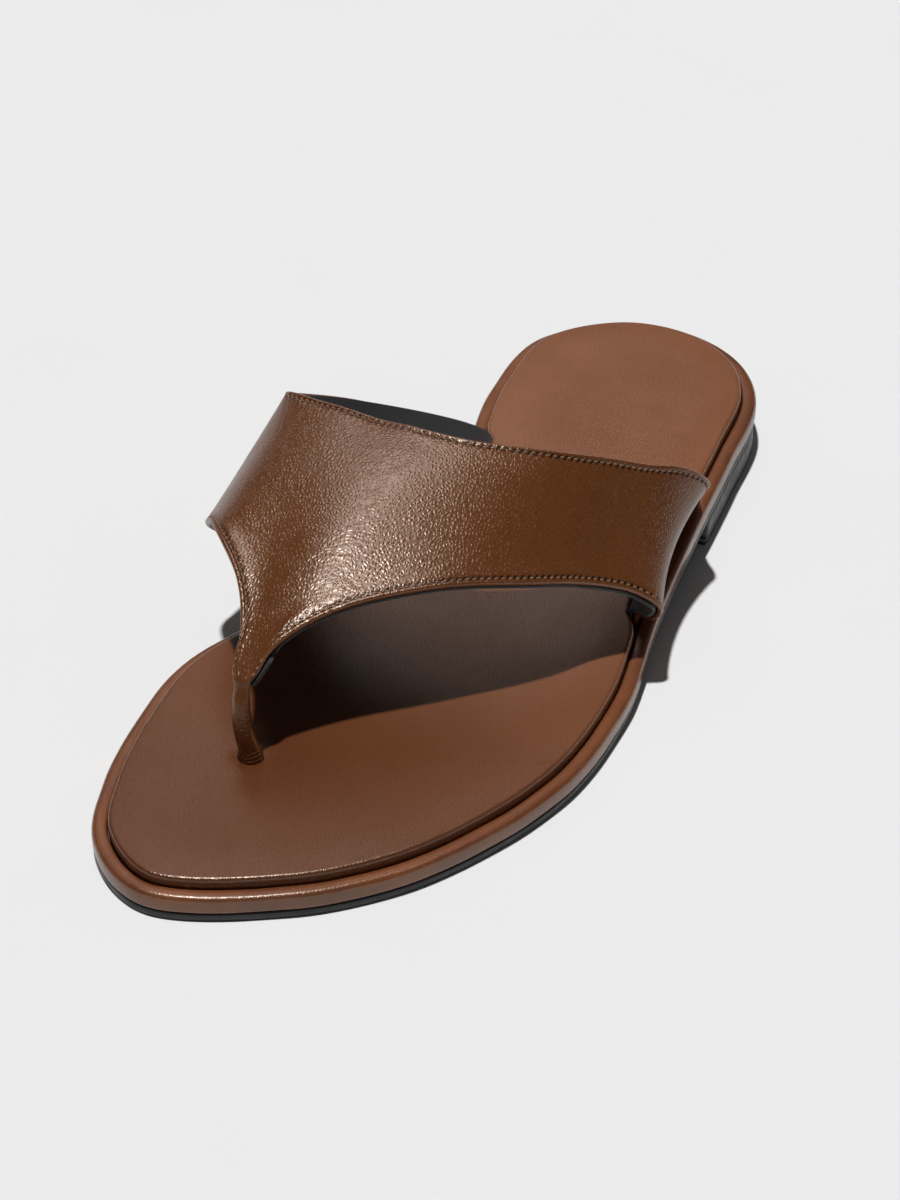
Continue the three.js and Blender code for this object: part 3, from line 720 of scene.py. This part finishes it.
def sheet(grid, bottom, top, hole=None):
    """Closed mesh between two heights over the grid, with no front wall between the columns of `hole`."""
    rows, columns = grid.v.shape
    upper = grid.middle + grid.normal * top[..., None]
    under = grid.middle + grid.normal * bottom[..., None]
    points = np.vstack([upper.reshape(-1, 3), under.reshape(-1, 3)])
    below = rows * columns
    faces = []
    for j in range(rows - 1):
        for i in range(columns - 1):
            k = j * columns + i
            faces.append((k, k + 1, k + columns + 1, k + columns))
            faces.append((below + k, below + k + columns, below + k + columns + 1, below + k + 1))
        for k in (j * columns, (j + 1) * columns - 1):
            faces.append((k, k + columns, below + k + columns, below + k))
    last = (rows - 1) * columns
    for i in range(columns - 1):
        faces.append((i, below + i, below + i + 1, i + 1))
        if not (hole and hole[0] <= i < hole[1]):
            faces.append((last + i, last + i + 1, below + last + i + 1, below + last + i))
    return points, faces


def top_height(grid):
    """Height of the upper's face over the middle surface: rolled edge, bead, sunk seam and unevenness."""
    edge = grid.edge
    inside = np.clip(ROLLED_EDGE - edge, 0, ROLLED_EDGE)
    keep = 1 - stem_end(grid.t)
    rolled = (ROLLED_EDGE - np.sqrt(ROLLED_EDGE**2 - inside**2)) * keep
    bead = 0.10 * hump(edge - 0.7, 0.4)
    channel = 0.28 * hump(edge - SEAM_INSET, 0.35) * mix(1, 0.45, stem_end(grid.t))
    stitch_pull = 0.12 * hump(edge - SEAM_INSET, 0.7) * np.cos(2 * np.pi * grid.stitch)
    uneven = 0.10 * rough(grid.middle, 28, 6) + 0.03 * rough(grid.middle, 9, 7)
    calm = smoothstep(0.5, 5, edge)
    return UPPER_TOP - rolled + bead - channel - stitch_pull + uneven * calm


def bottom_height(grid):
    """Height of the upper's underside, which is skived a little at its edges."""
    inside = np.clip(ROLLED_EDGE - grid.edge, 0, ROLLED_EDGE)
    return UPPER_BOTTOM + 0.7 * inside * (1 - stem_end(grid.t))


def post_rings(loop, outward):
    """Rings that turn the stem's flat end into the round toe post and carry it down into the footbed."""
    count = len(loop)
    half = count // 2
    angle = np.concatenate([np.linspace(np.pi, 0, half), np.linspace(0, -np.pi, count - half)])
    across = unit(loop[half - 1] - loop[0])
    start = loop.mean(0)
    spans = len(POST_CENTRE) - 2
    steps = 14
    turn_length = 4.5
    crease_depth, crease_spacing, creased_height = 0.16, 0.95, 2.6
    rings = []
    travelled = 0.0
    before = start
    for n in range(1, spans * steps + 1):
        place = n / steps
        k = min(int(place), spans - 1) + 1
        corner = [POST_CENTRE[np.clip(k + step, 0, len(POST_CENTRE) - 1)] for step in (-1, 0, 1, 2)]
        s = np.array(place - (k - 1))
        centre = catmull(*corner, s)
        tangent = unit(catmull(*corner, s + 0.01) - catmull(*corner, s - 0.01))
        radius = mix(POST_RADIUS[k], POST_RADIUS[k + 1], s)
        travelled += np.linalg.norm(centre - before)
        before = centre
        side = unit(across - tangent * (across @ tangent))
        front = unit(np.cross(side, tangent))
        if front @ outward < 0:
            front = -front
        circle = centre + radius * (np.cos(angle)[:, None] * side + np.sin(angle)[:, None] * front)
        roundness = smoothstep(0, turn_length, travelled)
        flat = loop - start + centre
        ringed = mix(flat, circle, roundness)
        height = centre[2] - raised(centre[1]) - COVER_TOP
        wander = 1.3 * np.sin(angle * 2 + 0.6)
        crease = crease_depth * np.sin(2 * np.pi * height / crease_spacing + wander)
        crease *= hump(height, creased_height)
        rings.append(ringed + unit(ringed - centre) * crease[:, None])
    return rings


def soften(points, faces, weight, rounds):
    """Evens out a mesh where weight is above 0, each round moving points towards their neighbours' middle."""
    edges = np.array(sorted({tuple(sorted((f[i], f[i - 1]))) for f in faces for i in range(len(f))}))
    for _ in range(rounds):
        total = np.zeros_like(points)
        number = np.zeros(len(points))
        for a, b in ((0, 1), (1, 0)):
            np.add.at(total, edges[:, a], points[edges[:, b]])
            np.add.at(number, edges[:, a], 1)
        points = mix(points, total / number[:, None], 0.5 * weight[:, None])
    return points


def strap_upper(grid):
    """The strap's leather and the rolled toe post, in one piece."""
    rows, columns = grid.v.shape
    first = int(np.searchsorted(grid.t, STEM_RIGHT))
    last = int(np.searchsorted(grid.t, STEM_LEFT))
    points, faces = sheet(grid, bottom_height(grid), top_height(grid), (first, last))
    below = rows * columns
    front_row = (rows - 1) * columns
    loop_ids = list(range(front_row + first, front_row + last + 1))
    loop_ids += [below + k for k in reversed(loop_ids)]
    loop = points[loop_ids]
    outward = grid.normal[-1, (first + last) // 2]
    rings = post_rings(loop, outward)
    start = len(points)
    count = len(loop_ids)
    previous = loop_ids
    for n in range(len(rings)):
        current = list(range(start + n * count, start + (n + 1) * count))
        for i in range(count):
            j = (i + 1) % count
            faces.append((previous[i], previous[j], current[j], current[i]))
        previous = current
    faces.append(tuple(previous))
    points = np.vstack([points, *rings])
    junction = loop.mean(0)
    weight = hump(np.linalg.norm(points - junction, axis=1), JUNCTION_SIZE)
    weight[weight < 0.02] = 0
    points = soften(points, faces, weight, 30)
    piece = make_mesh("strap_upper_leather", points, faces, STRAP, "strap_upper", "strap_leather")
    unsewn = EDGE_STEPS[-1] + 1
    far = np.full(len(rings) * count, unsewn)
    edge = grid.edge + unsewn * stem_end(grid.t) * (grid.v > 0.5)
    point_values(piece, "edge", np.concatenate([edge.ravel(), 0 * edge.ravel(), far]))
    point_values(piece, "stitch", np.concatenate([grid.stitch.ravel(), grid.stitch.ravel(), 0 * far]))
    return piece


def under_layer(name, bottom, top, inset, material, node, slot):
    """One of the thinner layers under the upper."""
    steps = np.array([0, 0.25, 1.2, 3.0])
    columns = strap_columns()[::2]
    grid = Strap(inset, steps, 16, columns)
    points, faces = sheet(grid, np.full(grid.v.shape, bottom), np.full(grid.v.shape, top))
    return make_mesh(name, points, faces, material, node, slot)


def stitches(name, seam, grid, span, node):
    """A row of thread stitches along a seam, each one dipping into the leather at both ends."""
    line, normal = seam
    length = Strap.lengths(seam)
    start, end = np.interp(span, grid.t, length)
    sides = 8
    rise = [(0.5, 0.10, -0.26), (0.42, 0.18, -0.06), (0.2, 0.22, 0.1)]
    shape = [(-along, radius, lift) for along, radius, lift in rise] + rise[::-1]
    stitch_length = 0.62 * STITCH_PITCH
    points, faces = [], []
    seat = UPPER_TOP - STITCH_DEPTH
    for n in range(math.ceil(start / STITCH_PITCH), int(end / STITCH_PITCH)):
        base = len(points)
        for along, radius, lift in shape:
            place = (n + 0.5) * STITCH_PITCH + along * stitch_length
            at = np.array([np.interp(place, length, line[:, axis]) for axis in range(3)])
            up = unit(np.array([np.interp(place, length, normal[:, axis]) for axis in range(3)]))
            ahead = np.array([np.interp(place + 0.2, length, line[:, axis]) for axis in range(3)])
            side = unit(np.cross(up, ahead - at))
            for k in range(sides):
                angle = 2 * np.pi * k / sides
                outwards = up * math.sin(angle) + side * math.cos(angle)
                points.append(at + up * (seat + lift) + radius * outwards)
        for r in range(len(shape) - 1):
            for k in range(sides):
                a, b = base + r * sides + k, base + r * sides + (k + 1) % sides
                faces.append((a, b, b + sides, a + sides))
        faces.append(tuple(base + k for k in range(sides)))
        faces.append(tuple(base + (len(shape) - 1) * sides + k for k in range(sides)))
    return make_mesh(name, points, faces, THREAD, node, "thread")


# ---------- build ----------
heel_block("heel_top_layer", 0.7, 0, 2.0, "heel_top_piece")
heel_block("heel_lift_layer", 0.5, 2.12, HEEL_HEIGHT, "heel_lift")
outsole()
rim()
footbed()
strap_grid = Strap()
strap_upper(strap_grid)
under_layer(
    "strap_reinforcement_tape", REINFORCEMENT_BOTTOM, UPPER_BOTTOM, 1.0, TAPE, "strap_reinforcement", "tape")
under_layer(
    "strap_lining_leather", LINING_BOTTOM, REINFORCEMENT_BOTTOM + 0.05, 0.25, LINING, "strap_lining",
    "lining_leather")
back_span = (TUCK_PLACES - 0.4, PLACES - TUCK_PLACES - 0.6)
outer_span = (TUCK_PLACES - 0.2, STEM_MIDDLE)
inner_span = (STEM_MIDDLE, PLACES - TUCK_PLACES - 0.8)
stitches("stitches_back_edge", strap_grid.seam_back, strap_grid, back_span, "seam_back_edge")
stitches("stitches_front_outer", strap_grid.seam_front, strap_grid, outer_span, "seam_front_outer")
stitches("stitches_front_inner", strap_grid.seam_front, strap_grid, inner_span, "seam_front_inner")

for node, material in {
    "midsole_board": BOARD, "insole_board": BOARD, "shank": STEEL, "toe_post_anchor": TAPE,
    "footbed_foam": PADDING, "toe_post_cord": PADDING,
}.items():
    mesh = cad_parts[node].data
    mesh.materials.clear()
    mesh.materials.append(material)


# ---------- floor, light and camera ----------
def floor():
    """A wide sheet of pale paper."""
    shader = Shader("floor_paper")
    tone = shader.blend(shader.noise(60, detail=2), srgb(233, 233, 233), srgb(236, 236, 236))
    bpy.ops.mesh.primitive_plane_add(size=12)
    ground = bpy.context.object
    ground.name = "floor"
    paper = shader.finish({"Base Color": tone, "Roughness": 0.9, "Specular IOR Level": 0.1})
    ground.data.materials.append(paper)


def sun(direction, strength, softness):
    """A distant lamp that shines along `direction`."""
    lamp = bpy.data.lights.new("key_light", "SUN")
    lamp.energy = strength
    lamp.angle = math.radians(softness)
    holder = bpy.data.objects.new("key_light", lamp)
    holder.rotation_mode = "QUATERNION"
    holder.rotation_quaternion = Vector(direction).to_track_quat("-Z", "Y")
    bpy.context.scene.collection.objects.link(holder)


def sky(ambient, highlight, towards, across):
    """An even soft tent with a long soft panel that only shines reflect, `across` being its narrow way."""
    world = bpy.data.worlds.new("studio")
    world.use_nodes = True
    tree = world.node_tree
    background = tree.nodes["Background"]
    background.inputs["Color"].default_value = (1, 1, 1, 1)

    def add(kind, inputs, operation=None):
        node = tree.nodes.new("ShaderNode" + kind)
        if operation:
            node.operation = operation
        for key, value in inputs.items():
            if isinstance(value, bpy.types.NodeSocket):
                tree.links.new(value, node.inputs[key])
            else:
                node.inputs[key].default_value = value
        return node.outputs

    where = add("TexCoord", {})["Generated"]
    facing = add("VectorMath", {0: where, 1: Vector(towards).normalized()}, "DOT_PRODUCT")["Value"]
    aside = add("VectorMath", {0: where, 1: Vector(across).normalized()}, "DOT_PRODUCT")["Value"]
    narrow = add("Math", {0: aside, 1: aside}, "MULTIPLY")["Value"]
    inside = add("Math", {0: narrow, 1: -3.0, 2: facing}, "MULTIPLY_ADD")["Value"]
    fade = {"Value": inside, "From Min": 0.82, "From Max": 0.97, "To Max": highlight}
    panel = add("MapRange", fade)["Result"]
    glossy = add("LightPath", {})["Is Glossy Ray"]
    strength = add("Math", {0: panel, 1: glossy, 2: ambient}, "MULTIPLY_ADD")["Value"]
    tree.links.new(strength, background.inputs["Strength"])
    bpy.context.scene.world = world


def camera(position, target, lens):
    """The scene's camera, which looks from `position` at `target`, in metres."""
    data = bpy.data.cameras.new("camera")
    data.lens = lens
    data.clip_start = 0.01
    holder = bpy.data.objects.new("camera", data)
    holder.location = position
    holder.rotation_mode = "QUATERNION"
    holder.rotation_quaternion = (target - position).to_track_quat("-Z", "Y")
    bpy.context.scene.collection.objects.link(holder)
    bpy.context.scene.camera = holder


floor()
sun(direction=(0.04, 0.1, -1.0), strength=2.95, softness=2.5)
sky(ambient=0.08, highlight=6.0, towards=(-0.25, 0.42, 0.85), across=(0.75, 0.66, -0.1))
camera(position=Vector((0.4643, -0.9212, 0.7203)), target=Vector((0.0, -0.004, 0.012)), lens=160)
bpy.context.scene.view_settings.view_transform = "Standard"
